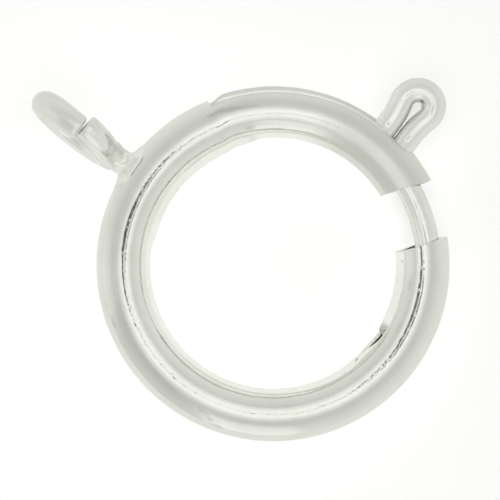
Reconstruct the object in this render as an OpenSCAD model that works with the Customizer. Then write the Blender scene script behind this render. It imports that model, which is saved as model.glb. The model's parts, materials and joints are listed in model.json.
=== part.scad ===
// Spring ring clasp: a tube bent into an open ring, a sprung bolt that closes its gap,
// and an eye soldered to its side. It lies on the eye and on the ring's far side.
// The clasp's own plane is drawn as X and Y round the ring's centre, seen from its front.

/* [Ring tube] */
// Outer diameter of the ring
ring_od = 10; // [8:0.5:14]
// Outer diameter of the tube that the ring is bent from
tube_d = 1.46; // [1.4:0.02:1.6]
// Wall of the tube
tube_wall = 0.17; // [0.15:0.01:0.18]

/* [Gap] */
// Width of the straight cut that opens the ring
gap_w = 1.65; // [1.4:0.05:1.9]
// Direction of the cut
gap_dir = 17.1; // [14:0.1:20]
// Distance of the cut's middle line from the ring's centre
gap_offset = 0.146; // [0.1:0.002:0.2]

/* [Sprung arm] */
// How far the arm between the slot's end and the gap stands off outwards
arm_off = 0.09; // [0:0.01:0.1]
// Direction in which the arm stands off
arm_dir = 60; // [50:1:70]

/* [Slot] */
// Angle of the slot's square end on the ring
slot_end = 111.8; // [108:0.1:114]
// Height of the slot's near edge over the middle of the tube
slot_near_z = 0.55; // [0.5:0.01:0.58]
// Depth of the slot's far edge under the middle of the tube
slot_far_z = 0.24; // [0.22:0.01:0.28]

/* [Seam] */
// Width of the seam where the rolled tube closes
seam_w = 0.06; // [0.04:0.01:0.1]
// Rise of the seam over the inner side of the ring, round the tube
seam_rise = 26; // [20:1:34]
// How far the far lip stands out at the seam where it is proud
lip_proud = 0.09; // [0.04:0.01:0.1]

/* [Spring stop] */
// Angle on the ring where the pressed-in tongue is deepest
stop_deep = -32; // [-34:0.5:-30]
// Angle on the ring where the tongue starts
stop_root = -46; // [-48:0.5:-44]
// Depth that the tongue is pressed in
stop_depth = 0.24; // [0.2:0.01:0.28]

/* [Bolt] */
// Diameter of the bolt's wire
bolt_d = 0.68; // [0.62:0.01:0.68]
// Radius of the bolt's track round the ring's centre, over that of the tube's middle
bolt_out = 0.12; // [0.1:0.01:0.13]
// Height of the bolt over the middle of the tube
bolt_z = 0.14; // [0.12:0.01:0.15]
// Angle of the bolt's tip, inside the tube past the gap
bolt_tip = 2; // [0:0.5:4]
// Mean radius of the bends between the bolt, the trigger and the tail
bend_r = 0.43; // [0.41:0.01:0.46]
// Length of the tail past its bend, as an angle
tail_angle = 3; // [2:0.5:5]

/* [Trigger] */
// Angle on the ring's outside where the trigger stands
trigger_foot = 46.6; // [45:0.1:48]
// Direction in which the trigger leans
trigger_lean = 53.5; // [50:0.5:56]
// Space between the trigger's two legs
leg_gap = 0.02; // [0.02:0.01:0.04]
// Mean radius of the loop at its top
loop_r = 0.45; // [0.44:0.01:0.5]
// Length of the trigger from its foot to the loop's centre
loop_h = 0.88; // [0.84:0.02:1.1]
// Mean radius of the curves that open the legs into the loop
flare_r = 2.4; // [0.6:0.1:2.6]
// Angle by which the trigger rises towards the clasp's front, for the fingernail
trigger_rise = 15; // [5:1:18]
// Mean radius of the bend that makes it rise
rise_r = 0.6; // [0.5:0.05:0.7]

/* [Spring] */
// Diameter of the spring's wire
spring_wire = 0.18; // [0.14:0.01:0.2]
// Outer diameter of the spring
spring_od = 0.9; // [0.8:0.02:0.92]
// Turns of the spring
spring_turns = 46; // [40:1:52]

/* [Eye] */
// Outer diameter of the eye
eye_od = 2.97; // [2.8:0.01:3.2]
// Diameter of the eye's wire
eye_wire = 0.71; // [0.6:0.01:0.8]
// Distance of the eye's centre from the ring's centre, over the ring's radius
eye_out = 1.735; // [1.7:0.005:1.85]
// Angle of the eye on the ring
eye_dir = 145.6; // [140:0.1:150]
// Turn of the eye about its own upright axis
eye_yaw = -2.5; // [-5:0.5:5]
// Lean of the eye from upright
eye_lean = 8.5; // [0:0.5:12]
// Further lean of the eye's inner strand, which sets its cut ends side by side
strand_lean = 5; // [0:0.5:8]
// Width of the cut in the eye, as an angle
eye_cut = 5; // [2:0.5:10]
// Place of the cut round the eye, from its outer side over its top
eye_cut_at = 108; // [90:1:112]
// Foot radius of the solder between the tube and the eye
solder_foot_r = 0.44; // [0.36:0.01:0.46]
// Top radius of the solder
solder_top_r = 0.3; // [0.26:0.01:0.34]

/* [Hidden] */
$fn = 64;
ring_r = ring_od / 2;
tube_r = tube_d / 2;
bore_r = tube_r - tube_wall;
core_r = ring_r - tube_r;
bolt_r = bolt_d / 2;
track_r = core_r + bolt_out;

// The tube past the slot, and the stretches of it where the far lip is proud
main_start = 110;
main_end = 372;
LIP_STRETCHES = [[112, 166], [312, main_end]];
arm_start = 20;
arm_end = main_start + 1.2;

// Trigger, in a frame turned so that its legs run along X
foot_x = ring_r * cos(trigger_foot - trigger_lean);
foot_y = ring_r * sin(trigger_foot - trigger_lean);
leg_pitch = bolt_d + leg_gap;
gap_leg_y = foot_y - leg_pitch / 2;
tail_leg_y = foot_y + leg_pitch / 2;
// Centre of the bend from each leg into the track: X at the distance that touches the track
function bend_x(y) = sqrt(pow(track_r + bend_r, 2) - y * y);
gap_bend_y = gap_leg_y - bend_r;
tail_bend_y = tail_leg_y + bend_r;
gap_bend_x = bend_x(gap_bend_y);
tail_bend_x = bend_x(tail_bend_y);
gap_bend_a = atan2(gap_bend_y, gap_bend_x);
tail_bend_a = atan2(tail_bend_y, tail_bend_x);
// Turn at which the flares meet the loop
flare_a = acos((leg_pitch / 2 + flare_r) / (loop_r + flare_r));
loop_x = foot_x + loop_h;
flare_x = loop_x - (loop_r + flare_r) * sin(flare_a);
// Where the legs start to rise, just outside the tube's wall
rise_x = ring_r - 0.05;
// A bend's wire is this much thinner than the straight wire, and reaches this far into it
joint_step = 0.005;
joint_reach = 0.02;
tip_taper = 0.22;
tip_r = bolt_r - 0.1;

// Slot: its round end sits round the trigger's leg
slot_w = slot_near_z + slot_far_z;
slot_z = (slot_near_z - slot_far_z) / 2;
slot_in = core_r + 0.15;
slot_start = trigger_lean + asin(gap_leg_y / ring_r);

// Spring, from just behind the bolt's tail to just before the stop
spring_gap = 1.5;
spring_start = trigger_lean + tail_bend_a + tail_angle + spring_gap;
spring_end = 360 + stop_root - spring_gap;
spring_r = (spring_od - spring_wire) / 2;
spring_track = core_r + 0.02;
SPRING_SIDES = 5;
SPRING_STEPS = 12;

// Eye
eye_r = (eye_od - eye_wire) / 2;
eye_x = ring_r + eye_out;
solder_in = ring_r - 0.14;
solder_end = eye_x - eye_r;

// The clasp lies on the eye's lowest point and the ring's far side
lie_angle = asin((eye_r * cos(eye_lean) + eye_wire / 2 - tube_r) / (eye_x + core_r));

// Turn of the whole clasp from its own plane to the way it lies
module as_it_lies() {
    rotate(a = lie_angle, v = [sin(eye_dir), -cos(eye_dir), 0])
        children();
}

// Part of a wire ring in the X Y plane
module wire_arc(x, y, radius, wire_r, start, sweep) {
    translate([x, y, 0])
        rotate([0, 0, start])
            rotate_extrude(angle = sweep)
                translate([radius, 0])
                    circle(r = wire_r);
}

// Bend that reaches a little into the thicker wire at both its ends
module bend(x, y, radius, start, sweep) {
    reach = joint_reach / radius * 180 / PI;
    wire_arc(x, y, radius, bolt_r - joint_step, start - reach, sweep + 2 * reach);
}

// Straight wire along X
module wire_run(x0, x1, y) {
    translate([x0, y, 0])
        rotate([0, 90, 0])
            cylinder(h = x1 - x0, r = bolt_r);
}

// Section of the rolled tube, open at its seam
module tube_section() {
    translate([core_r, 0])
        difference() {
            circle(r = tube_r);
            circle(r = bore_r);
            rotate(180 - seam_rise)
                translate([bore_r / 2, -seam_w / 2])
                    square([tube_r, seam_w]);
        }
}

// Section of the far lip where it stands out at the seam
module lip_section() {
    translate([core_r, 0])
        difference() {
            intersection() {
                translate([-lip_proud, 0])
                    circle(r = tube_r);
                rotate(180 - seam_rise)
                    translate([0, seam_w / 2 + joint_step])
                        square([tube_d, tube_d]);
            }
            circle(r = (tube_r + bore_r) / 2);
        }
}

module stretch(start, end) {
    rotate([0, 0, start])
        rotate_extrude(angle = end - start)
            children();
}

// The tube from the slot's end round to the gap
module main_tube() {
    stretch(main_start, main_end)
        tube_section();
    for (s = LIP_STRETCHES)
        stretch(s[0], s[1])
            lip_section();
}

// The arm from the gap to the slot's end
module arm_tube() {
    translate([arm_off * cos(arm_dir), arm_off * sin(arm_dir), 0])
        stretch(arm_start, arm_end)
            tube_section();
}

// Straight cut that opens the ring
module gap_cut() {
    rotate([0, 0, gap_dir])
        translate([core_r / 2, gap_offset - gap_w / 2, -tube_d])
            cube([ring_od, gap_w, 2 * tube_d]);
}

// Slot in the outer wall for the trigger
module slot_cut() {
    rotate([0, 0, slot_start])
        rotate_extrude(angle = slot_end - slot_start)
            translate([slot_in, -slot_far_z])
                square([ring_r, slot_w]);
    rotate([0, 0, trigger_lean])
        translate([slot_in, gap_leg_y, slot_z])
            rotate([0, 90, 0])
                cylinder(h = ring_r, r = slot_w / 2);
}

// Points of the stop's wedge in the ring's plane, from one depth at its root to another at its tip
function polar(r, a) = [r * cos(a), r * sin(a)];
function wedge(root_in, root_out, deep_in, deep_out) = [
    polar(root_in, stop_root), polar(root_out, stop_root),
    polar(deep_out, stop_deep), polar(deep_in, stop_deep),
];
hole_r = ring_r - tube_d;

// Near lip cut away over the pressed-in tongue
module stop_cut() {
    linear_extrude(height = tube_r)
        polygon(wedge(hole_r - 2 * lip_proud, hole_r, hole_r - 2 * lip_proud, hole_r + stop_depth));
}

// Tongue pressed into the tube, which the spring's end bears on
module stop_tongue() {
    linear_extrude(height = bore_r * 0.8)
        polygon(wedge(hole_r, hole_r + tube_wall, hole_r + stop_depth, hole_r + stop_depth + tube_wall));
}

// Open wire eye: its outer strand, and its inner strand leaning a little further
module eye() {
    rotate([0, 0, eye_dir])
        translate([eye_x, 0, 0])
            rotate([0, 0, eye_yaw]) {
                rotate([90 + eye_lean, 0, 0])
                    wire_arc(0, 0, eye_r, eye_wire / 2, -180, 180 + eye_cut_at - eye_cut / 2);
                rotate([90 + eye_lean + strand_lean, 0, 0])
                    wire_arc(0, 0, eye_r, eye_wire / 2, eye_cut_at + eye_cut / 2, 180 - eye_cut_at - eye_cut / 2);
            }
}

module solder() {
    rotate([0, 0, eye_dir])
        translate([solder_in, 0, 0])
            rotate([0, 90, 0])
                cylinder(h = solder_end - solder_in, r1 = solder_foot_r, r2 = solder_top_r);
}

module ring_tube() {
    color([0.86, 0.86, 0.83])
        as_it_lies() {
            difference() {
                union() {
                    main_tube();
                    arm_tube();
                }
                gap_cut();
                slot_cut();
                stop_cut();
            }
            stop_tongue();
            solder();
            eye();
        }
}

// Bend that lifts a leg of the trigger out of the ring's plane
module rise_bend(y) {
    translate([0, y, 0])
        rotate([90, 0, 0])
            bend(rise_x, rise_r, rise_r, -90, trigger_rise);
}

// Legs and loop outside the tube, in the plane that rises from the legs' bends
module trigger() {
    translate([rise_x + rise_r * sin(trigger_rise), 0, rise_r * (1 - cos(trigger_rise))])
        rotate([0, -trigger_rise, 0])
            translate([-rise_x, 0, 0]) {
                wire_run(rise_x, flare_x, gap_leg_y);
                bend(flare_x, gap_leg_y - flare_r, flare_r, 90 - flare_a, flare_a);
                wire_arc(loop_x, foot_y, loop_r, bolt_r, -90 - flare_a, 180 + 2 * flare_a);
                bend(flare_x, tail_leg_y + flare_r, flare_r, -90, flare_a);
                wire_run(rise_x, flare_x, tail_leg_y);
            }
}

// Bolt, trigger and tail, bent from one wire
module bolt() {
    color([0.8, 0.8, 0.78])
        as_it_lies()
            translate([0, 0, bolt_z])
                rotate([0, 0, trigger_lean]) {
                    tip_a = bolt_tip - trigger_lean;
                    wire_arc(0, 0, track_r, bolt_r, tip_a, gap_bend_a - tip_a);
                    rotate([0, 0, tip_a])
                        translate([track_r, joint_reach, 0])
                            rotate([90, 0, 0])
                                cylinder(h = tip_taper, r1 = bolt_r - joint_step, r2 = tip_r);
                    bend(gap_bend_x, gap_bend_y, bend_r, 90, 90 + gap_bend_a);
                    wire_run(gap_bend_x, rise_x, gap_leg_y);
                    rise_bend(gap_leg_y);
                    trigger();
                    rise_bend(tail_leg_y);
                    wire_run(tail_bend_x, rise_x, tail_leg_y);
                    bend(tail_bend_x, tail_bend_y, bend_r, tail_bend_a - 180, 90 - tail_bend_a);
                    wire_arc(0, 0, track_r, bolt_r, tail_bend_a, tail_angle);
                }
}

// Point on the spring's wire: t along its length, side round the wire
function coil_angle(t) = spring_start + (spring_end - spring_start) * t;
function coil_point(t, side) =
    let (
        turn = 360 * spring_turns * t,
        round = 360 * side / SPRING_SIDES,
        out = spring_track + (spring_r + spring_wire / 2 * cos(round)) * cos(turn),
        up = (spring_r + spring_wire / 2 * cos(round)) * sin(turn),
        on = coil_angle(t) + spring_wire / 2 * sin(round) / spring_track * 180 / PI
    )
    [out * cos(on), out * sin(on), up];

// Coil spring inside the tube
module spring() {
    steps = spring_turns * SPRING_STEPS;
    points = [for (i = [0:steps], j = [0:SPRING_SIDES - 1]) coil_point(i / steps, j)];
    sides = [
        for (i = [0:steps - 1], j = [0:SPRING_SIDES - 1])
            let (k = (j + 1) % SPRING_SIDES, a = i * SPRING_SIDES, b = a + SPRING_SIDES)
            each [[a + j, b + j, b + k], [a + j, b + k, a + k]]
    ];
    ends = [
        [for (j = [0:SPRING_SIDES - 1]) j],
        [for (j = [SPRING_SIDES - 1:-1:0]) steps * SPRING_SIDES + j]
    ];
    color([0.7, 0.7, 0.72])
        as_it_lies()
            polyhedron(points = points, faces = concat(sides, ends));
}

ring_tube();
bolt();
spring();
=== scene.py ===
"""Spring ring clasp: a ring of rolled silver tube, a sprung bolt with a looped trigger, and a soldered eye.

Sizes are millimetres and degrees in the clasp's own plane, X right and Y up as seen from its front.
Angles on the ring run from X towards Y. Angles round the tube run from its outer side over its top.
A finished piece is turned to the way the clasp lies, and scaled to metres, when it is placed.
"""

import json
import math

import bmesh
import bpy
import numpy as np
from mathutils import Matrix, Vector


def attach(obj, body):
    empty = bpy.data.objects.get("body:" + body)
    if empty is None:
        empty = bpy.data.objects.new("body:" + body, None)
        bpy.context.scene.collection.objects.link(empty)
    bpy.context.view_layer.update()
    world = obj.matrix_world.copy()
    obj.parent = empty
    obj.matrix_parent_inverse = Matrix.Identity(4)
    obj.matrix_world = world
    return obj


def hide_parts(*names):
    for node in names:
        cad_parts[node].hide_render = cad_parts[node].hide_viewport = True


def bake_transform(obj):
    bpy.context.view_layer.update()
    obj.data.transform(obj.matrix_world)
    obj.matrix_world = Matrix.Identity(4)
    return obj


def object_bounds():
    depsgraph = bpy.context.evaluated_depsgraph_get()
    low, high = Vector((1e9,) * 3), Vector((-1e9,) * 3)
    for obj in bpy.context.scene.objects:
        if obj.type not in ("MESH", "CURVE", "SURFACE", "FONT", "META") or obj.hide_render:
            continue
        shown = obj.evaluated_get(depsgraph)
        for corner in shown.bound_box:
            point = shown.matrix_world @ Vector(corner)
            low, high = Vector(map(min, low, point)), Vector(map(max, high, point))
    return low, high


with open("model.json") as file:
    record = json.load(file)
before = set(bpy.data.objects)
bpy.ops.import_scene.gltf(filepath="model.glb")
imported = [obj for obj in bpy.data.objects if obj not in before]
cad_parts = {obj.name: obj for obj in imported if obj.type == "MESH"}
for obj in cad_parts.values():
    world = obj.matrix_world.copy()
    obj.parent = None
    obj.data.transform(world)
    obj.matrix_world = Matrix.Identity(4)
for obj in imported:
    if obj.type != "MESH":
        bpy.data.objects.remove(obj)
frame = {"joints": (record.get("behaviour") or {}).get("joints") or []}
cad_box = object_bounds()

MM = 0.001
LIE = Vector((0, 0, 1)).rotation_difference(Vector(frame["joints"][0]["axis"])).to_matrix().to_4x4()

# Ring tube
RING_R = 5.0
TUBE_R = 0.73
WALL = 0.17
CORE_R = RING_R - TUBE_R
# The sheet before it is formed: start along the ring, and how far it goes along the ring and round the tube
SHEET_START, SHEET_SWEEP, SHEET_ROUND = 28, 340, 356

# Straight cut of the gap: direction, distance from the ring's centre, width
GAP_DIR, GAP_OFFSET, GAP_W = 17.1, 0.146, 1.65
# The arm has sprung out: how far, which way, and the angles over which it bends
ARM_OFF, ARM_DIR, ARM_BEND = 0.09, 60.0, (108.5, 112.5)

# Slot: angle of its square end, heights of its edges, and where their forming starts and ends
SLOT_END = 111.8
SLOT_NEAR_Z, SLOT_FAR_Z = 0.55, -0.24
SLOT_FORM_IN, SLOT_FORM_OUT = (44, 54), (SLOT_END - 1.3, SLOT_END - 0.2)
# Flare of the slot's far edge: how far out, where it rises and falls round the tube, and where it ends
SLOT_FLARE = 0.10
FLARE_RISE, FLARE_FALL, FLARE_OUT = (285, 341), (345, 400), (SLOT_END - 5.0, SLOT_END - 1.0)

# Lips: half the seam round the tube, the walls at the far lip and at the stop, and where they turn plain
HALF_SEAM = 0.7
LIP_WALL, STOP_WALL, LIP_WALL_FADE = 0.26, 0.06, (195, 215)
# The far lip's lean, what it stays under the near lip, and where round the tube its form fades
LIP_LEAN, LIP_UNDER, LIP_FADE = 0.34, 0.006, (188, 240)
# Turned-up rim of a cut edge: slope, and width round the tube; and where the slot's near side starts
BURR_SLOPE, BURR, NEAR_SIDE = 0.34, 5.5, 400
# Bevel of every cut edge, and the least angle that gets one
EDGE, EDGE_ANGLE = 0.008, 55

# Stop: where the far lip's bend into the tube starts, is deepest, starts to end, and ends
STOP_ROOT, STOP_DEEP, STOP_FADE, STOP_END = 310.0, 319.5, 325.8, 328.8
# How far it is bent over, and over what length of the lip
STOP_BEND, STOP_ROUND = 115.0, 0.11

# Seam along the ring: angle, and its rise over the ring's inner side, round the tube
SEAM_RISE = [
    (26, 27), (60, 27), (80, 24), (100, 21), (118, 22), (135, 18), (160, 16), (200, 16), (240, 19),
    (275, 22), (298, 26), (312, 27), (327, 27.5), (334, 31), (372, 31),
]
# How far the far lip stands out towards the ring's middle, along the ring
LIP_PROUD = [
    (26, 0.03), (96, 0.04), (103, 0.12), (112, 0.13), (120, 0.15), (162, 0.15), (176, 0.07), (270, 0.05),
    (300, 0.05), (310, 0.07), (316, 0.11), (322, 0.11), (327.5, 0.07), (331, 0.09), (336, 0.11),
    (364, 0.10), (372, 0.08),
]
# How far the near lip reaches on over the far one beside the stop, along the ring
NEAR_REACH = [(306, 0.0), (315, 0.12), (327, 0.0)]

# Painted shade on the tube, dark patches standing in for dark reflections: angle on the ring and round the
# tube, half length, half width, share
PAINTED_SHADE_SPOTS = [
    (111, 435, 4, 7, 0.30), (106, 441, 5, 6, 0.34), (100, 445, 5, 5, 0.24), (100.5, 491, 3, 6, 0.34),
    (95, 487, 5, 4, 0.16), (52, 487, 16, 7, 0.16), (48, 434, 22, 6, 0.14), (333, 484, 3, 6, 0.12),
    (352, 488, 3, 8, 0.2), (200, 414, 3, 6, 0.24), (244, 433, 2.2, 5, 0.24), (247.5, 424, 2.2, 6, 0.3),
    (251, 413, 2.4, 6, 0.3),
]
# The arm is worn matt, and has painted shade all over that stands in for its dimmer reflection: how much, and
# where each fades in or out along the ring
ARM_WORN, WORN_IN, WORN_OUT = 0.24, (16, 26), (56, 84)
ARM_PAINTED_SHADE, PAINTED_SHADE_OUT = 0.16, (58, 76)

# Bolt wire: its track inside the tube, its tip, the bends to the trigger, and its tail past them
BOLT_R = 0.34
TRACK_R = CORE_R + 0.12
BOLT_Z = 0.14
BOLT_TIP = 2.0
BEND_R = 0.43
TAIL_ANGLE = 3.0
# Trigger: angles of its foot and of its own direction, pitch of its legs, and its loop
TRIGGER_FOOT, TRIGGER_LEAN = 46.6, 53.5
LEG_PITCH = 0.7
LOOP_R, LOOP_H, FLARE_R = 0.45, 0.88, 2.4
# Its rise out of the ring's plane, the bow on the way, and the bend: radius, start and points
TRIGGER_RISE, RISE_BOW, RISE_R, RISE_X, RISE_POINTS = 15.0, 3.0, 0.6, RING_R - 0.05, 8

# Spring: wire, coil, the ring of its middle, turns, seat past the bolt's tail, and far end
SPRING_WIRE_R = 0.09
SPRING_R = 0.36
SPRING_TRACK = CORE_R + 0.02
SPRING_TURNS = 46
SPRING_SEAT = 1.5
SPRING_END = 312.5
# It is made in two lengths that meet at this turn
MIDDLE_TURN = 22.75

# Eye: wire, ring, distance from the clasp's centre, and how it stands
EYE_WIRE_R = 0.355
EYE_R = 1.13
EYE_X = RING_R + 1.735
EYE_DIR, EYE_YAW, EYE_LEAN = 145.6, -2.5, 8.5
# Its cut: width, place round it, and how its two ends lean apart, with the places where that starts and ends
EYE_CUT, EYE_CUT_AT = 2.0, 107.5
STRAND_LEAN, STRAND_TURN = 5.0, (150, 215)
END_LEAN, END_TURN = 3.0, (390, 462)

# Solder between tube and eye: its middle, and the least and greatest reach from there
SOLDER_AT = np.array([5.06, 0.0, 0.0])
SOLDER_REACH = (0.03, 0.95)
# Lump: radius, unevenness, first and last distance from the clasp's centre, and fillets to tube and eye
LUMP_R, LUMP_UNEVEN, LUMP_FROM, LUMP_TO = 0.27, 0.04, 4.7, 5.5
TUBE_FILLET, EYE_FILLET = 0.3, 0.24
# Smear over the tube and its wrinkles: height, and distances over which each fades; and what all is cut back
SMEAR, SMEAR_FADE = 0.028, (0.55, 0.9)
WRINKLE, WRINKLE_FADE = 0.018, (0.25, 0.8)
SOLDER_BACK = 0.006
# How its surface is found: eye wire that counts, first reach, steps, share of a step, and depths it goes by
WIRE_NEAR, FIRST_REACH, SOLDER_STEPS, STEP_SHARE, STEP_DEPTH = 1.5, 0.05, 50, 0.8, (-0.05, 0.02)

# How finely the wires are drawn: distances between points, points, sides, and lengths of their rounded ends
ARC_STEP, BOLT_STEP = 0.03, 0.05
EYE_POINTS, TURN_POINTS = 260, 28
WIRE_SIDES, SPRING_SIDES = 40, 10
BOLT_CAP, EYE_CAP, CAP_POINTS = 0.12, 0.09, 6

FLOAT, COUNT, FINISH = "NodeSocketFloat", "NodeSocketInt", "NodeSocketMaterial"


# Small helpers for points, nodes and finished pieces


def polar(radius, angle):
    a = np.radians(angle)
    return radius * np.cos(a), radius * np.sin(a)


def turned(angle, axis):
    """A turn about an axis, in degrees."""
    return np.array(Matrix.Rotation(math.radians(angle), 3, axis))


def table_at(table, angle):
    """Value of a table of (angle, value) pairs at each angle, eased between them."""
    xs, ys = np.array(table, float).T
    k = np.clip(np.searchsorted(xs, angle, side="right") - 1, 0, len(xs) - 2)
    t = np.clip((angle - xs[k]) / (xs[k + 1] - xs[k]), 0, 1)
    return ys[k] + (ys[k + 1] - ys[k]) * t * t * (3 - 2 * t)


def eased(x, start, end):
    """0 before start, 1 after end, smooth between."""
    t = np.clip((x - start) / (end - start), 0, 1)
    return t * t * (3 - 2 * t)


def add(tree, kind, inputs, **settings):
    """One node; an input is a value, or the socket that feeds it."""
    made = tree.nodes.new(kind)
    for name, value in settings.items():
        setattr(made, name, value)
    for key, value in inputs.items():
        if isinstance(value, bpy.types.NodeSocket):
            tree.links.new(value, made.inputs[key])
        else:
            made.inputs[key].default_value = value
    made.location = (220 * (len(tree.nodes) % 9), -260 * (len(tree.nodes) // 9))
    return made


def maths(tree, operation, *values):
    return add(tree, "ShaderNodeMath", dict(enumerate(values)), operation=operation).outputs[0]


def split(tree, vector):
    return add(tree, "ShaderNodeSeparateXYZ", {0: vector}).outputs


def joined(tree, x, y, z):
    return add(tree, "ShaderNodeCombineXYZ", {0: x, 1: y, 2: z}).outputs[0]


def ranged(tree, value, low, high, to_low, to_high, kind="LINEAR"):
    """Value moved from one range to another, and held at its ends."""
    inputs = {0: value, 1: low, 2: high, 3: to_low, 4: to_high}
    return add(tree, "ShaderNodeMapRange", inputs, interpolation_type=kind).outputs[0]


def geometry_tree(name, sizes):
    """A Geometry Nodes tree and the sockets of its named sizes."""
    tree = bpy.data.node_groups.new(name, "GeometryNodeTree")
    tree.interface.new_socket("Geometry", in_out="OUTPUT", socket_type="NodeSocketGeometry")
    tree.interface.new_socket("Geometry", in_out="INPUT", socket_type="NodeSocketGeometry")
    for label, kind in sizes.items():
        tree.interface.new_socket(label, in_out="INPUT", socket_type=kind)
    return tree, tree.nodes.new("NodeGroupInput").outputs


def stored(tree, geometry, name, kind, value):
    return add(
        tree, "GeometryNodeStoreNamedAttribute",
        {"Geometry": geometry, "Name": name, "Value": value}, data_type=kind, domain="POINT",
    ).outputs["Geometry"]


def recalled(tree, name, kind):
    return add(tree, "GeometryNodeInputNamedAttribute", {"Name": name}, data_type=kind).outputs[0]


def swept(tree, path, profile, scale, finish):
    """Sweeps profile along path, and stores "grain": place in the section, and distance along the path."""
    run = add(tree, "GeometryNodeSplineParameter", {}).outputs["Length"]
    path = stored(tree, path, "run", "FLOAT", run)
    place_in_section = add(tree, "GeometryNodeInputPosition", {}).outputs[0]
    profile = stored(tree, profile, "section", "FLOAT_VECTOR", place_in_section)
    body = add(tree, "GeometryNodeCurveToMesh", {
        "Curve": path, "Profile Curve": profile, "Scale": scale, "Fill Caps": True,
    }).outputs[0]
    section = split(tree, recalled(tree, "section", "FLOAT_VECTOR"))
    grain = joined(tree, section[0], section[1], recalled(tree, "run", "FLOAT"))
    body = stored(tree, body, "grain", "FLOAT_VECTOR", grain)
    for spare in ("run", "section"):
        body = add(tree, "GeometryNodeRemoveAttribute", {"Geometry": body, "Name": spare}).outputs[0]
    smooth = add(tree, "GeometryNodeSetShadeSmooth", {"Geometry": body}).outputs[0]
    real = add(tree, "GeometryNodeRealizeInstances", {"Geometry": smooth}).outputs[0]
    dressed = add(tree, "GeometryNodeSetMaterial", {"Geometry": real, "Material": finish}).outputs[0]
    add(tree, "NodeGroupOutput", {"Geometry": dressed})


def set_sizes(obj, tree, sizes):
    """Puts the tree on obj with its named sizes."""
    modifier = obj.modifiers.new(tree.name, "NODES")
    modifier.node_group = tree
    names = {s.name: s.identifier for s in tree.interface.items_tree if s.in_out == "INPUT"}
    for name, value in sizes.items():
        modifier[names[name]] = value


def new_piece(name, data):
    obj = bpy.data.objects.new(name, data)
    bpy.context.scene.collection.objects.link(obj)
    return obj


def hardened(obj):
    """The evaluated object as a plain mesh object of the same name, without modifiers."""
    evaluated = obj.evaluated_get(bpy.context.evaluated_depsgraph_get())
    mesh = bpy.data.meshes.new_from_object(evaluated)
    name = obj.name
    bpy.data.objects.remove(obj)
    mesh.name = name
    return new_piece(name, mesh)


def place(obj, body, nodes, sharp=35):
    """Turns a piece in mm to the way the clasp lies, in metres, and hands it to its body."""
    obj.data.transform(LIE @ Matrix.Scale(MM, 4))
    obj.data.set_sharp_from_angle(angle=math.radians(sharp))
    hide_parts(*nodes)
    if body:
        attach(obj, body)
    return obj


# Materials


def new_material(name, inputs):
    """A material whose shader has these values on its own sockets."""
    mat = bpy.data.materials.new(name)
    mat.use_nodes = True
    for key, value in inputs.items():
        mat.node_tree.nodes["Principled BSDF"].inputs[key].default_value = value
    return mat


def noise(tree, where, scale, detail, roughness):
    inputs = {"Vector": where, "Scale": scale, "Detail": detail, "Roughness": roughness}
    return add(tree, "ShaderNodeTexNoise", inputs).outputs[0]


def mixed(tree, share, first, second):
    return add(tree, "ShaderNodeMix", {0: share, 6: first, 7: second}, data_type="RGBA").outputs[2]


def bumped(tree, height, distance, below=None):
    """One layer of bump, distance in mm, over the layers below."""
    inputs = {"Height": height, "Strength": 1.0, "Distance": distance * MM}
    if below is not None:
        inputs["Normal"] = below
    return add(tree, "ShaderNodeBump", inputs).outputs[0]


# Tint of reflections at a low angle, and colour of the painted shade that stands in for dark reflections
TINT = (0.85, 0.85, 0.83, 1)
PAINTED_SHADE = (0.30, 0.30, 0.26, 1)


def metal(name, colour, dull, roughness, rough_spread, wave, draw, pits, metallic=1.0):
    """Polished metal: slow waves in its surface, fine drawn lines along the piece, and small pits."""
    mat = new_material(name, {"Metallic": metallic, "Specular Tint": TINT})
    tree = mat.node_tree
    shader = tree.nodes["Principled BSDF"].inputs
    spot = add(tree, "ShaderNodeTexCoord", {}).outputs["Object"]
    grain = add(tree, "ShaderNodeAttribute", {}, attribute_name="grain").outputs["Vector"]
    marks = split(tree, add(tree, "ShaderNodeAttribute", {}, attribute_name="marks").outputs["Vector"])

    # Colour: cloudy tarnish, and painted shade over it, standing in for dark reflections
    cloud = noise(tree, spot, 900.0, 3.0, 0.6)
    tarnish = ranged(tree, cloud, 0.35, 0.7, 0.0, 1.0)
    tone = mixed(tree, tarnish, (*colour, 1), (*dull, 1))
    tree.links.new(mixed(tree, marks[1], tone, PAINTED_SHADE), shader["Base Color"])

    # Roughness: lines drawn out along the piece, and wear
    lines = add(tree, "ShaderNodeMapping", {"Vector": grain, "Scale": (1.0, 1.0, 0.03)}).outputs[0]
    drawn = noise(tree, lines, 26.0, 4.0, 0.65)
    rough = ranged(tree, drawn, 0.3, 0.75, roughness, roughness + rough_spread)
    tree.links.new(maths(tree, "ADD", rough, marks[0]), shader["Roughness"])

    # Bump: slow waves, the drawn lines, and pits
    swell = noise(tree, spot, 420.0, 5.0, 0.6)
    grit = noise(tree, spot, 6500.0, 2.0, 0.5)
    pit = ranged(tree, grit, 0.66, 0.74, 0.0, -1.0)
    bump = bumped(tree, drawn, draw, bumped(tree, swell, wave))
    tree.links.new(bumped(tree, pit, pits, bump), shader["Normal"])
    return mat


SILVER = metal("Plated silver tube", colour=(0.76, 0.765, 0.71), dull=(0.72, 0.725, 0.66),
               roughness=0.06, rough_spread=0.07, wave=0.02, draw=0.0006, pits=0.002)
WIRE = metal("Plated silver wire", colour=(0.75, 0.755, 0.715), dull=(0.68, 0.685, 0.63),
             roughness=0.07, rough_spread=0.10, wave=0.03, draw=0.0016, pits=0.003, metallic=0.8)
SOLDER = metal("Silver solder", colour=(0.78, 0.785, 0.74), dull=(0.70, 0.70, 0.64),
               roughness=0.16, rough_spread=0.16, wave=0.04, draw=0.0, pits=0.004, metallic=0.55)
STEEL = metal("Spring steel", colour=(0.52, 0.53, 0.54), dull=(0.42, 0.42, 0.43),
              roughness=0.18, rough_spread=0.12, wave=0.0, draw=0.0008, pits=0.0)


# Rolled tube


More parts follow.
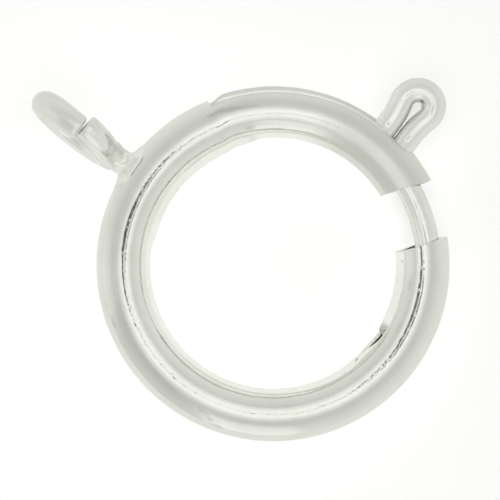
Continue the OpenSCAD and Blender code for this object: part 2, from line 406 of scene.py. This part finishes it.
def tube_tree():
    """A sheet bent round the ring's core line, open at the seam."""
    tree, sizes = geometry_tree("Rolled tube", {
        "Core radius": FLOAT, "Tube radius": FLOAT, "Start": FLOAT, "Sweep": FLOAT, "Columns": COUNT,
        "Near lip": FLOAT, "Round": FLOAT, "Rows": COUNT, "Finish": FINISH,
    })
    path = add(tree, "GeometryNodeCurveArc", {
        "Resolution": sizes["Columns"], "Radius": sizes["Core radius"],
        "Start Angle": sizes["Start"], "Sweep Angle": sizes["Sweep"],
    }).outputs[0]
    profile = add(tree, "GeometryNodeCurveArc", {
        "Resolution": sizes["Rows"], "Radius": sizes["Tube radius"],
        "Start Angle": sizes["Near lip"], "Sweep Angle": sizes["Round"],
    }).outputs[0]
    swept(tree, path, profile, 1.0, sizes["Finish"])
    return tree


def gap_angle(radius, side):
    """Angle at which the straight cut meets a circle; side 1 is the arm's end, -1 the other."""
    a, b = polar(ARM_OFF if side > 0 else 0.0, ARM_DIR - GAP_DIR)
    return GAP_DIR + np.degrees(np.arcsin((GAP_OFFSET + side * GAP_W / 2 - b) / radius))


def slot_start(height):
    """Angle of the slot's round end at each height."""
    middle, half = (SLOT_NEAR_Z + SLOT_FAR_Z) / 2, (SLOT_NEAR_Z - SLOT_FAR_Z) / 2
    leg = RING_R * math.sin(math.radians(TRIGGER_FOOT - TRIGGER_LEAN)) - LEG_PITCH / 2
    reach = np.sqrt(np.clip(half**2 - (height - middle) ** 2, 0, None))
    return TRIGGER_LEAN + np.degrees(np.arcsin((leg - reach) / RING_R))


# Columns round the ring, as runs between set angles, and rows round the tube, as counts
COLUMN_RUNS = [(10, "slot start"), (4, 47.0), (44, SLOT_END), (3, 114.5), (100, STOP_ROOT), (24, STOP_END),
               (17, 362.0), (5, "gap")]
ROW_RUNS = [30, 20, 52]
# Rough angles of the columns that follow a cut, to look up the seam there
ROUGH_ANGLE = {"arm end": 28.0, "slot start": 42.0, "gap": 368.0}


def row_levels():
    """Place of each row round the tube: 3 is the near lip, 2 and 1 the slot's edges, and 0 the far lip."""
    t = np.linspace(0, 1, ROW_RUNS[0] + 1)
    # Rows are closer towards the near lip and the slot
    near = 3 - 0.5 * t - 0.25 * (1 - np.cos(math.pi * t))
    slot, far = np.linspace(2, 1, ROW_RUNS[1] + 1)[1:], np.linspace(1, 0, ROW_RUNS[2] + 1)[1:]
    return np.concatenate([near, slot, far])


def tube_grid():
    """Angle on the ring and round the tube for every point of the sheet, by column and row."""
    near, far = (np.degrees(math.asin(z / TUBE_R)) for z in (SLOT_NEAR_Z, SLOT_FAR_Z))
    level = row_levels()
    theta = np.zeros((sum(n for n, _ in COLUMN_RUNS) + 1, len(level)))
    phi = np.zeros_like(theta)

    def phi_of(angle):
        rise = table_at(SEAM_RISE, np.asarray(angle, float))
        far_lip, near_lip = 180 - rise + HALF_SEAM, 540 - rise - HALF_SEAM
        slot_far, slot_near = np.full_like(rise, 360 + far), np.full_like(rise, 360 + near)
        marks = np.stack([far_lip, slot_far, slot_near, near_lip], axis=-1)
        k = np.clip(np.floor(level).astype(int), 0, 2)
        low, high = np.take(marks, k, axis=-1), np.take(marks, k + 1, axis=-1)
        return low + (high - low) * (level - k)

    def column_angle(mark, round_tube):
        radius = CORE_R + TUBE_R * np.cos(np.radians(round_tube))
        if mark == "arm end":
            return gap_angle(radius, 1)
        if mark == "gap":
            return gap_angle(radius, -1) + 360
        if mark == "slot start":
            inside = (level <= 2) & (level >= 1)
            height = np.where(inside, TUBE_R * np.sin(np.radians(round_tube)), SLOT_NEAR_Z)
            return slot_start(height)
        return np.full(len(level), mark)

    at, before = 0, "arm end"
    for count, mark in COLUMN_RUNS:
        rough_from, rough_to = (ROUGH_ANGLE.get(m, m) for m in (before, mark))
        for i in range(count + 1):
            t = i / count
            round_tube = phi_of(rough_from + (rough_to - rough_from) * t)
            a, b = column_angle(before, round_tube), column_angle(mark, round_tube)
            theta[at + i], phi[at + i] = a + (b - a) * t, round_tube
        at, before = at + count, mark
    return theta, phi


def stop_share(theta):
    """How far the stop is bent in at each angle, as a share."""
    return eased(theta, STOP_ROOT, STOP_DEEP) * (1 - eased(theta, STOP_FADE, STOP_END))


def with_rim(out, up, edge, rim):
    """Heights once the points in the rim are turned up from its root, at the place edge round the tube."""
    root_out, root_up = CORE_R + TUBE_R * np.cos(np.radians(edge)), TUBE_R * np.sin(np.radians(edge))
    return np.where(rim, root_up - BURR_SLOPE * (root_out - out), up)


def tube_points(theta, phi):
    """Where each point of the sheet lies once the arm has sprung out, and the lips and stop are formed."""
    rise, proud = table_at(SEAM_RISE, theta), table_at(LIP_PROUD, theta)
    slot = eased(theta, *SLOT_FORM_IN) * (1 - eased(theta, *SLOT_FORM_OUT))
    flare = SLOT_FLARE * slot * eased(phi, *FLARE_RISE) * (1 - eased(phi, *FLARE_FALL))
    flare *= 1 - eased(theta, *FLARE_OUT)

    # The far lip leans up past the ring's inner side, to just under the near lip's edge
    edge_out, edge_up = CORE_R - TUBE_R * np.cos(np.radians(rise)), TUBE_R * np.sin(np.radians(rise))
    under = np.clip(CORE_R - TUBE_R - proud + LIP_WALL - edge_out, 0, None)
    top = edge_up - under * np.tan(np.radians(rise)) - LIP_UNDER
    foot = proud - LIP_LEAN * top
    out = CORE_R + (TUBE_R + flare) * np.cos(np.radians(phi)) - (1 - eased(phi, *LIP_FADE)) * foot
    up = (TUBE_R + flare) * np.sin(np.radians(phi))

    # At the stop it is bent over into the tube
    lean, bend = -math.atan(LIP_LEAN), np.radians(STOP_BEND) * stop_share(theta)
    run = np.clip(top * (180 - phi) / (rise - HALF_SEAM), 0, None) / math.cos(lean)
    curl = np.minimum(run, STOP_ROUND)
    turn = bend * curl / STOP_ROUND
    chord = curl * np.sinc(turn / (2 * math.pi))
    straight = phi < 180
    up = np.where(straight, chord * np.cos(lean + turn / 2) + (run - curl) * np.cos(lean + bend), up)
    past = chord * np.sin(lean + turn / 2) + (run - curl) * np.sin(lean + bend)
    out = np.where(straight, CORE_R - TUBE_R - foot + past, out)

    # The near lip reaches on over the stop's root
    near_rim = 540 - rise - HALF_SEAM - BURR
    out = out - table_at(NEAR_REACH, theta) * np.clip((phi - near_rim) / BURR, 0, 1)

    # The cut edges are turned up a little: the near lip's, and the slot's near one
    up = with_rim(out, up, near_rim, phi > near_rim)
    slot_rim = 360 + np.degrees(math.asin(SLOT_NEAR_Z / TUBE_R)) + BURR * (slot > 0)
    up = with_rim(out, up, slot_rim, (slot > 0.5) & (phi < slot_rim) & (phi > NEAR_SIDE))

    sprung = ARM_OFF * (1 - eased(theta, *ARM_BEND))
    x, y = polar(out, theta)
    dx, dy = polar(1.0, ARM_DIR)
    return np.stack([x + sprung * dx, y + sprung * dy, up], axis=-1)


def mark_tube(mesh, theta, phi):
    """Stores "marks": added roughness where the arm is worn matt, and painted shade, standing in for dark
    reflections, on it and in a few places.
    """
    worn = ARM_WORN * eased(theta, *WORN_IN) * (1 - eased(theta, *WORN_OUT))
    # Painted shade: darker colour on the arm and in spots, standing in for dark reflections
    painted_shade = ARM_PAINTED_SHADE * (1 - eased(theta, *PAINTED_SHADE_OUT))
    for at, round_tube, long, wide, share in PAINTED_SHADE_SPOTS:
        across = (np.abs(theta - at) / long) ** 2 + (np.abs(phi - round_tube) / wide) ** 2
        painted_shade = np.maximum(painted_shade, share * (1 - eased(across, 0.2, 1.0)))
    marks = mesh.attributes.new("marks", "FLOAT_VECTOR", "POINT")
    marks.data.foreach_set("vector", np.stack([worn, painted_shade, 0 * painted_shade], axis=-1).astype(np.float32).ravel())


def weigh_walls(obj, theta, phi):
    """A group with the wall as a share: thicker at the far lip, to close the seam, and thin at the stop."""
    plain = (WALL - STOP_WALL) / (LIP_WALL - STOP_WALL)
    share = plain + (1 - plain) * (1 - eased(phi, *LIP_WALL_FADE))
    share *= 1 - stop_share(theta) * (phi < LIP_WALL_FADE[0])
    walls = obj.vertex_groups.new(name="Wall")
    for index, value in enumerate(share.ravel()):
        walls.add([index], float(value), "REPLACE")
    return walls


def open_slot(mesh, rows):
    """Takes out the sheet's faces between the slot's edges and its two ends."""
    slot_from, slot_to = COLUMN_RUNS[0][0], sum(n for n, _ in COLUMN_RUNS[:3])
    sheet = bmesh.new()
    sheet.from_mesh(mesh)
    gone = []
    for face in sheet.faces:
        i = min(v.index // rows for v in face.verts)
        j = min(v.index % rows for v in face.verts)
        if slot_from <= i < slot_to and ROW_RUNS[0] <= j < ROW_RUNS[0] + ROW_RUNS[1]:
            gone.append(face)
    bmesh.ops.delete(sheet, geom=gone, context="FACES")
    sheet.to_mesh(mesh)
    sheet.free()


def make_tube():
    theta, phi = tube_grid()
    columns, rows = theta.shape
    obj = new_piece("rolled_tube", bpy.data.meshes.new("rolled_tube"))
    set_sizes(obj, tube_tree(), {
        "Core radius": CORE_R, "Tube radius": TUBE_R, "Start": math.radians(SHEET_START),
        "Sweep": math.radians(SHEET_SWEEP), "Columns": columns,
        "Near lip": math.radians(180 + SEAM_RISE[0][1]), "Round": math.radians(SHEET_ROUND),
        "Rows": rows, "Finish": SILVER,
    })
    obj = hardened(obj)
    obj.data.vertices.foreach_set("co", tube_points(theta, phi).astype(np.float32).ravel())
    mark_tube(obj.data, theta, phi)
    walls = weigh_walls(obj, theta, phi)
    open_slot(obj.data, rows)

    wall = obj.modifiers.new("Wall", "SOLIDIFY")
    wall.thickness = LIP_WALL
    wall.offset = -1.0
    wall.use_even_offset = True
    wall.vertex_group = walls.name
    wall.thickness_vertex_group = STOP_WALL / LIP_WALL
    edge = obj.modifiers.new("Edge", "BEVEL")
    edge.width = EDGE
    edge.segments = 1
    edge.limit_method = "ANGLE"
    edge.angle_limit = math.radians(EDGE_ANGLE)
    edge.use_clamp_overlap = False
    place(hardened(obj), "ring", ["ring_tube"])


# Wires


def wire_tree():
    """Round wire along the object's own curve, thinned by the curve's radius."""
    tree, sizes = geometry_tree("Round wire", {"Wire radius": FLOAT, "Sides": COUNT, "Finish": FINISH})
    profile = add(tree, "GeometryNodeCurvePrimitiveCircle", {
        "Resolution": sizes["Sides"], "Radius": sizes["Wire radius"],
    }).outputs[0]
    scale = add(tree, "GeometryNodeInputRadius", {}).outputs[0]
    swept(tree, sizes["Geometry"], profile, scale, sizes["Finish"])
    return tree


WIRE_TREE = wire_tree()


def arc(x, y, radius, start, end):
    """Close points on an arc in the X Y plane."""
    count = max(4, int(abs(math.radians(end - start)) * radius / ARC_STEP))
    a = np.radians(np.linspace(start, end, count))
    return np.stack([x + radius * np.cos(a), y + radius * np.sin(a), np.zeros(count)], axis=-1)


def run_along(points):
    """Distance along a path at each of its points."""
    return np.concatenate([[0], np.cumsum(np.linalg.norm(np.diff(points, axis=0), axis=1))])


def points_at(points, run, at):
    """Points of a path at these distances along it."""
    return np.stack([np.interp(at, run, points[:, k]) for k in range(3)], axis=-1)


def evened(points, step):
    """The same path with its points at even distances."""
    gaps = np.linalg.norm(np.diff(points, axis=0), axis=1)
    points = points[np.concatenate([[True], gaps > 1e-6])]
    run = run_along(points)
    return points_at(points, run, np.linspace(0, run[-1], int(run[-1] / step) + 1))


def round_ended(points, wire_r, cap):
    """Path with closer points at its ends, and a radius share that rounds each end over the length cap."""
    run = run_along(points)
    near = cap * (1 - np.cos(np.linspace(0, math.pi / 2, CAP_POINTS + 1)))[:-1]
    at = np.concatenate([near, run[(run > cap) & (run < run[-1] - cap)], (run[-1] - near)[::-1]])
    left = np.clip(np.minimum(at, at[-1] - at) / cap, 0, 1)
    share = 1 - cap / wire_r * (1 - np.sqrt(1 - (1 - left) ** 2))
    return points_at(points, run, at), share


def make_wire(name, points, radius, cap):
    """Round wire along a path, with rounded ends."""
    points, share = round_ended(points, radius, cap)
    curve = bpy.data.curves.new(name, "CURVE")
    curve.dimensions = "3D"
    spline = curve.splines.new("POLY")
    spline.points.add(len(points) - 1)
    for p, co, s in zip(spline.points, points, share):
        p.co = (*co, 1)
        p.radius = s
    obj = new_piece(name, curve)
    set_sizes(obj, WIRE_TREE, {"Wire radius": radius, "Sides": WIRE_SIDES, "Finish": WIRE})
    return hardened(obj)


def bolt_path():
    """Path from the bolt's tip through the trigger to its tail, and the angle at which the tail ends."""
    foot_x, foot_y = polar(RING_R, TRIGGER_FOOT - TRIGGER_LEAN)
    gap_leg, tail_leg = foot_y - LEG_PITCH / 2, foot_y + LEG_PITCH / 2
    gap_y, tail_y = gap_leg - BEND_R, tail_leg + BEND_R
    gap_x, tail_x = (math.sqrt((TRACK_R + BEND_R) ** 2 - y * y) for y in (gap_y, tail_y))
    gap_a, tail_a = math.degrees(math.atan2(gap_y, gap_x)), math.degrees(math.atan2(tail_y, tail_x))
    flare = math.degrees(math.acos((LEG_PITCH / 2 + FLARE_R) / (LOOP_R + FLARE_R)))
    loop_x = foot_x + LOOP_H
    flare_x = loop_x - (LOOP_R + FLARE_R) * math.sin(math.radians(flare))

    # One leg's bend out of the ring's plane, and the turn of all that is past it
    a = np.radians(np.linspace(0, TRIGGER_RISE - RISE_BOW, RISE_POINTS))
    lift = np.stack([RISE_X + RISE_R * np.sin(a), 0 * a, RISE_R * (1 - np.cos(a))], axis=-1)
    outside = np.concatenate([
        arc(flare_x, gap_leg - FLARE_R, FLARE_R, 90, 90 - flare),
        arc(loop_x, foot_y, LOOP_R, -90 - flare, 90 + flare),
        arc(flare_x, tail_leg + FLARE_R, FLARE_R, flare - 90, -90),
    ])
    # The loop bows up a little towards its end
    past = (outside[:, 0] - flare_x) / (loop_x + LOOP_R - flare_x)
    outside[:, 2] = math.tan(math.radians(RISE_BOW)) * (loop_x + LOOP_R - flare_x) * past * (past - 1)
    outside = (outside - [RISE_X, 0, 0]) @ turned(-TRIGGER_RISE, "Y").T + lift[-1]
    path = np.concatenate([
        arc(0, 0, TRACK_R, BOLT_TIP - TRIGGER_LEAN, gap_a),
        arc(gap_x, gap_y, BEND_R, 180 + gap_a, 90),
        lift + [0, gap_leg, 0],
        outside,
        lift[::-1] + [0, tail_leg, 0],
        arc(tail_x, tail_y, BEND_R, -90, tail_a - 180),
        arc(0, 0, TRACK_R, tail_a, tail_a + TAIL_ANGLE),
    ])
    path = evened(path, BOLT_STEP)
    return path @ turned(TRIGGER_LEAN, "Z").T + [0, 0, BOLT_Z], TRIGGER_LEAN + tail_a + TAIL_ANGLE


def make_bolt():
    """The bolt with its trigger; gives the angle on the ring at which its tail ends."""
    path, tail_end = bolt_path()
    place(make_wire("bolt_wire", path, BOLT_R, BOLT_CAP), "bolt", ["bolt"])
    return tail_end


def eye_path():
    """One turn of wire, its two cut ends leaning apart."""
    t = np.linspace(EYE_CUT_AT + EYE_CUT / 2, EYE_CUT_AT + 360 - EYE_CUT / 2, EYE_POINTS)
    strands = STRAND_LEAN * (1 - eased(t, *STRAND_TURN))
    lean = np.radians(90 + EYE_LEAN + strands - END_LEAN * eased(t, *END_TURN))
    x, up = polar(EYE_R, t)
    points = np.stack([x, up * np.cos(lean), up * np.sin(lean)], axis=-1)
    return (points @ turned(EYE_YAW, "Z").T + [EYE_X, 0, 0]) @ turned(EYE_DIR, "Z").T


def make_eye():
    place(make_wire("chain_eye", eye_path(), EYE_WIRE_R, EYE_CAP), "ring", ["ring_tube"])


# Solder


def blended(a, b, width):
    """Distance to two shapes that are run together over a width."""
    mix = np.clip(0.5 + 0.5 * (b - a) / width, 0, 1)
    return b + (a - b) * mix - width * mix * (1 - mix)


def wrinkles(x, y, z):
    """Uneven waves, from sines whose lengths don't line up."""
    coarse = np.sin(17 * y + 9 * z) * np.sin(15 * x - 11 * z + 1)
    return coarse + 0.6 * np.sin(31 * y - 23 * x) * np.sin(29 * z + 2)


def solder_depth(points, wire):
    """Distance from each point to the joint's metal: tube, wire and the lump between them, run together."""
    x, y, z = points.T
    from_core = np.hypot(np.hypot(x, y) - CORE_R, z)
    near = np.full(len(points), 9.0)
    for spot in wire:
        near = np.minimum(near, np.linalg.norm(points - spot, axis=1))
    lump = np.hypot(y, z + 0.02) - LUMP_R - LUMP_UNEVEN * np.sin(9 * x + 5 * y) * np.cos(11 * z - 4 * y)
    lump = np.maximum(lump, np.maximum(LUMP_FROM - x, x - LUMP_TO))
    joint = blended(blended(from_core - TUBE_R, lump, TUBE_FILLET), near - EYE_WIRE_R, EYE_FILLET)
    away = np.linalg.norm(points - SOLDER_AT, axis=1)
    smear, wrinkled = 1 - eased(away, *SMEAR_FADE), 1 - eased(away, *WRINKLE_FADE)
    joint = joint - SMEAR * smear - WRINKLE * wrinkles(x, y, z) * wrinkled + SOLDER_BACK
    # None of it comes through into the tube
    return np.maximum(joint, TUBE_R - WALL / 2 - from_core)


def make_solder():
    """Solder drawn up between the tube and the eye: a ball pushed out until it meets the joint's surface."""
    turn = turned(EYE_DIR, "Z")
    wire = eye_path() @ turn
    wire = wire[np.linalg.norm(wire - SOLDER_AT, axis=1) < WIRE_NEAR][::2]
    ball = bmesh.new()
    bmesh.ops.create_icosphere(ball, subdivisions=6, radius=1.0)
    ways = np.array([v.co for v in ball.verts])
    ways /= np.linalg.norm(ways, axis=1)[:, None]
    reach = np.full(len(ways), FIRST_REACH)
    for _ in range(SOLDER_STEPS):
        depth = solder_depth(SOLDER_AT + ways * reach[:, None], wire)
        reach = np.clip(reach - STEP_SHARE * np.clip(depth, *STEP_DEPTH), *SOLDER_REACH)
    for v, co in zip(ball.verts, (SOLDER_AT + ways * reach[:, None]) @ turn.T):
        v.co = co
    mesh = bpy.data.meshes.new("solder")
    ball.to_mesh(mesh)
    ball.free()
    for face in mesh.polygons:
        face.use_smooth = True
    mesh.materials.append(SOLDER)
    place(new_piece("solder", mesh), "ring", ["ring_tube"], sharp=180)


# Spring


def coil_tree():
    """A coil round part of a ring: each point's turn sets its angle on the ring and its place in the coil."""
    tree, sizes = geometry_tree("Coil round a ring", {
        "Track radius": FLOAT, "Coil radius": FLOAT, "Wire radius": FLOAT, "First turn": FLOAT,
        "Last turn": FLOAT, "Start": FLOAT, "Angle a turn": FLOAT, "Points": COUNT, "Sides": COUNT,
        "Finish": FINISH,
    })
    line = add(tree, "GeometryNodeCurvePrimitiveLine", {"End": (1.0, 0.0, 0.0)}).outputs[0]
    line = add(tree, "GeometryNodeResampleCurve", {"Curve": line, "Count": sizes["Points"]}).outputs[0]
    share = add(tree, "GeometryNodeSplineParameter", {}).outputs["Factor"]
    turns = maths(tree, "SUBTRACT", sizes["Last turn"], sizes["First turn"])
    turn = maths(tree, "MULTIPLY_ADD", share, turns, sizes["First turn"])
    on = maths(tree, "MULTIPLY_ADD", turn, sizes["Angle a turn"], sizes["Start"])
    inside = maths(tree, "MULTIPLY", turn, 2 * math.pi)
    across, along = maths(tree, "COSINE", inside), maths(tree, "SINE", inside)
    out = maths(tree, "MULTIPLY_ADD", across, sizes["Coil radius"], sizes["Track radius"])
    up = maths(tree, "MULTIPLY", along, sizes["Coil radius"])
    x = maths(tree, "MULTIPLY", out, maths(tree, "COSINE", on))
    y = maths(tree, "MULTIPLY", out, maths(tree, "SINE", on))
    spot = joined(tree, x, y, up)
    coil = add(tree, "GeometryNodeSetPosition", {"Geometry": line, "Position": spot}).outputs[0]
    profile = add(tree, "GeometryNodeCurvePrimitiveCircle", {
        "Resolution": sizes["Sides"], "Radius": sizes["Wire radius"],
    }).outputs[0]
    swept(tree, coil, profile, 1.0, sizes["Finish"])
    return tree


def make_spring(start):
    """The spring in two lengths."""
    tree = coil_tree()
    a_turn = (SPRING_END - start) / SPRING_TURNS
    half_way = start + a_turn * MIDDLE_TURN
    near, mid, far = (Vector((*polar(SPRING_TRACK, a), 0.0)) for a in (start, half_way, SPRING_END))
    # Name, first and last turn, and between which places it turns from the ring to the bolt
    lengths = [
        ("spring_front", 0.0, MIDDLE_TURN, 2 * mid - near, near),
        ("spring_back", MIDDLE_TURN, float(SPRING_TURNS), far, 2 * mid - far),
    ]
    for name, first, last, *ends in lengths:
        obj = new_piece(name, bpy.data.meshes.new(name))
        set_sizes(obj, tree, {
            "Track radius": SPRING_TRACK, "Coil radius": SPRING_R, "Wire radius": SPRING_WIRE_R,
            "First turn": first, "Last turn": last, "Start": math.radians(start),
            "Angle a turn": math.radians(a_turn), "Points": int((last - first) * TURN_POINTS),
            "Sides": SPRING_SIDES, "Finish": STEEL,
        })
        obj = place(hardened(obj), None, ["spring"])
        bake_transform(obj)


# Making the clasp

make_tube()
make_eye()
make_solder()
tail_end = make_bolt()
make_spring(tail_end + SPRING_SEAT)


# Floor, light and camera

# Camera: its place, the picture's width and the camera's distance in pixels, and the sensor's width
CAMERA = Vector((-0.648, 0.418, 21.88))
PICTURE_W, PICTURE_AWAY, SENSOR = 500, 770, 36
# Soft panels: height, inner and outer radius, brightness near and far, and the radii where those hold
PANELS = {
    "lower_panel": (13.0, 4.6, 8.7, 1.22, 0.74, 1.5, 10.0),
    "upper_panel": (24.0, 0.0, 11.5, 1.2, 1.14, 1.5, 10.0),
}
# Dark blades of the camera's hood and arm: from angle, to angle, outer radius
BLADE_HEIGHT, BLADE_INNER = 17.0, 0.4
CAMERA_BLADES = [
    (131, 134, 2.0), (136, 141, 3.2), (142.5, 147, 3.2), (148, 155, 4.1), (157, 176, 4.2), (177, 190, 2.8),
    (191, 199, 2.2), (200, 204, 1.2), (311, 314, 1.0), (316, 321, 1.6), (322.5, 327, 1.6), (328, 335, 2.0),
    (337, 355, 2.4),
]
# Surround: height of a direction, and its brightness
SURROUND = [(0.0, 0.92), (0.2, 0.90), (0.5, 0.84), (0.7, 0.775), (0.83, 0.735), (0.93, 0.75), (1.0, 0.76)]
# Cards round the table: azimuth, half width, softness, gain, and heights over which the top edge fades
CARDS = [
    (225, 20, 6, -0.13, (0.94, 0.97)),
    (266, 15, 5, 0.25, (0.62, 0.86)),
    (186, 12, 6, 0.08, (0.62, 0.86)),
]
# Half the floor's width in metres
FLOOR_HALF = 0.6
# Fill light for the floor: power, spread, and tilt
FILL_POWER, FILL_SPREAD, FILL_TILT = 3.0, 70, 6


def make_floor():
    mesh = bpy.data.meshes.new("floor")
    low = cad_box[0].z
    corners = [(x * FLOOR_HALF, y * FLOOR_HALF, low) for x, y in ((-1, -1), (1, -1), (1, 1), (-1, 1))]
    mesh.from_pydata(corners, [], [(0, 1, 2, 3)])
    mesh.materials.append(new_material("Pale floor", {
        "Base Color": (0.92, 0.92, 0.91, 1), "Roughness": 0.9, "Specular IOR Level": 0.0,
    }))
    obj = new_piece("floor", mesh)


def card(tree, direction, shade, azimuth, spread, soft, gain, top):
    """A paler or darker card standing round the table: multiplies shade within spread of its azimuth."""
    parts = split(tree, direction)
    flat = joined(tree, parts[0], parts[1], 0.0)
    flat = add(tree, "ShaderNodeVectorMath", {0: flat}, operation="NORMALIZE").outputs[0]
    toward = (math.cos(math.radians(azimuth)), math.sin(math.radians(azimuth)), 0.0)
    facing = add(tree, "ShaderNodeVectorMath", {0: flat, 1: toward}, operation="DOT_PRODUCT")
    edges = (math.cos(math.radians(spread + soft)), math.cos(math.radians(spread - soft)))
    on = ranged(tree, facing.outputs["Value"], *edges, 0.0, 1.0, "SMOOTHSTEP")
    low = ranged(tree, parts[2], *top, 1.0, 0.0, "SMOOTHSTEP")
    factor = maths(tree, "MULTIPLY_ADD", maths(tree, "MULTIPLY", on, low), gain, 1.0)
    return maths(tree, "MULTIPLY", shade, factor)


def make_world():
    """Soft studio surround: bright overhead, darker between it and the walls, pale near the table."""
    world = bpy.data.worlds.new("Studio")
    bpy.context.scene.world = world
    world.use_nodes = True
    tree = world.node_tree
    direction = add(tree, "ShaderNodeTexCoord", {}).outputs["Generated"]
    ramp = add(tree, "ShaderNodeValToRGB", {0: split(tree, direction)[2]})
    ramp.color_ramp.interpolation = "EASE"
    elements = ramp.color_ramp.elements
    while len(elements) < len(SURROUND):
        elements.new(0.5)
    for element, (at, value) in zip(elements, SURROUND):
        element.position = at
        element.color = (value, value, value, 1)
    shade = add(tree, "ShaderNodeSeparateColor", {0: ramp.outputs[0]}).outputs[0]
    for row in CARDS:
        shade = card(tree, direction, shade, *row)
    background = tree.nodes["Background"]
    tree.links.new(shade, background.inputs["Color"])
    background.inputs["Strength"].default_value = 1.0
    world.cycles_visibility.diffuse = False


def over(height):
    """Middle of what the ring's crown reflects at a height: the camera's direction mirrored in the axis."""
    return Vector((-CAMERA.x, -CAMERA.y, CAMERA.z)) * (height / CAMERA.z)


def make_ring_sector(name, height, sectors, mat):
    """Flat sectors facing down at a height: (from angle, to angle, inner radius, outer radius)."""
    points, faces = [], []
    for low, high, inner, outer in sectors:
        count = max(6, int((high - low) / 6))
        first = len(points)
        for a in np.linspace(low, high, count + 1):
            points += [(*polar(inner, a), 0), (*polar(outer, a), 0)]
        faces += [(k, k + 2, k + 3, k + 1) for k in range(first, first + 2 * count, 2)]
    mesh = bpy.data.meshes.new(name)
    mesh.from_pydata(points, [], faces)
    mesh.transform(LIE @ Matrix.Scale(MM, 4) @ Matrix.Translation(over(height)))
    mesh.materials.append(mat)
    obj = new_piece(name, mesh)
    obj.visible_camera = False
    obj.visible_shadow = False
    return obj


def make_panel(name, height, inner, outer, bright, dim, near, far):
    """A glowing ring over the table, brighter towards its middle."""
    mat = new_material(name, {})
    tree = mat.node_tree
    tree.nodes.remove(tree.nodes["Principled BSDF"])
    spot = add(tree, "ShaderNodeTexCoord", {}).outputs["Object"]
    middle = tuple(LIE @ (over(height) * MM))
    away = add(tree, "ShaderNodeVectorMath", {0: spot, 1: middle}, operation="DISTANCE").outputs["Value"]
    glow = ranged(tree, away, near * MM, far * MM, bright, dim, "SMOOTHSTEP")
    glow = add(tree, "ShaderNodeEmission", {"Strength": glow}).outputs[0]
    tree.links.new(glow, tree.nodes["Material Output"].inputs["Surface"])
    make_ring_sector(name, height, [(0, 360, inner, outer)], mat)


def make_lights():
    """Soft panels over the table, the dark blades between them, and a wide fill for the floor."""
    for name, sizes in PANELS.items():
        make_panel(name, *sizes)

    dark = new_material("Dark blade", {"Base Color": (0.01, 0.01, 0.01, 1), "Specular IOR Level": 0.0})
    blades = [(low, high, BLADE_INNER, outer) for low, high, outer in CAMERA_BLADES]
    make_ring_sector("camera_hood", BLADE_HEIGHT, blades, dark).visible_diffuse = False

    fill = bpy.data.lights.new("fill", "SUN")
    fill.energy = FILL_POWER
    fill.angle = math.radians(FILL_SPREAD)
    fill.use_shadow = False
    lamp = new_piece("fill", fill)
    lamp.visible_glossy = False
    lamp.rotation_euler = (math.radians(FILL_TILT), math.radians(-FILL_TILT), 0)


def make_camera():
    data = bpy.data.cameras.new("camera")
    data.lens = SENSOR / PICTURE_W * PICTURE_AWAY
    data.sensor_width = SENSOR
    data.clip_start = 0.001
    data.clip_end = 2.0
    camera = new_piece("camera", data)
    camera.matrix_world = LIE @ Matrix.Translation(CAMERA * MM)
    bpy.context.scene.camera = camera


make_floor()
make_world()
make_lights()
make_camera()
bpy.context.scene.view_settings.view_transform = "Standard"
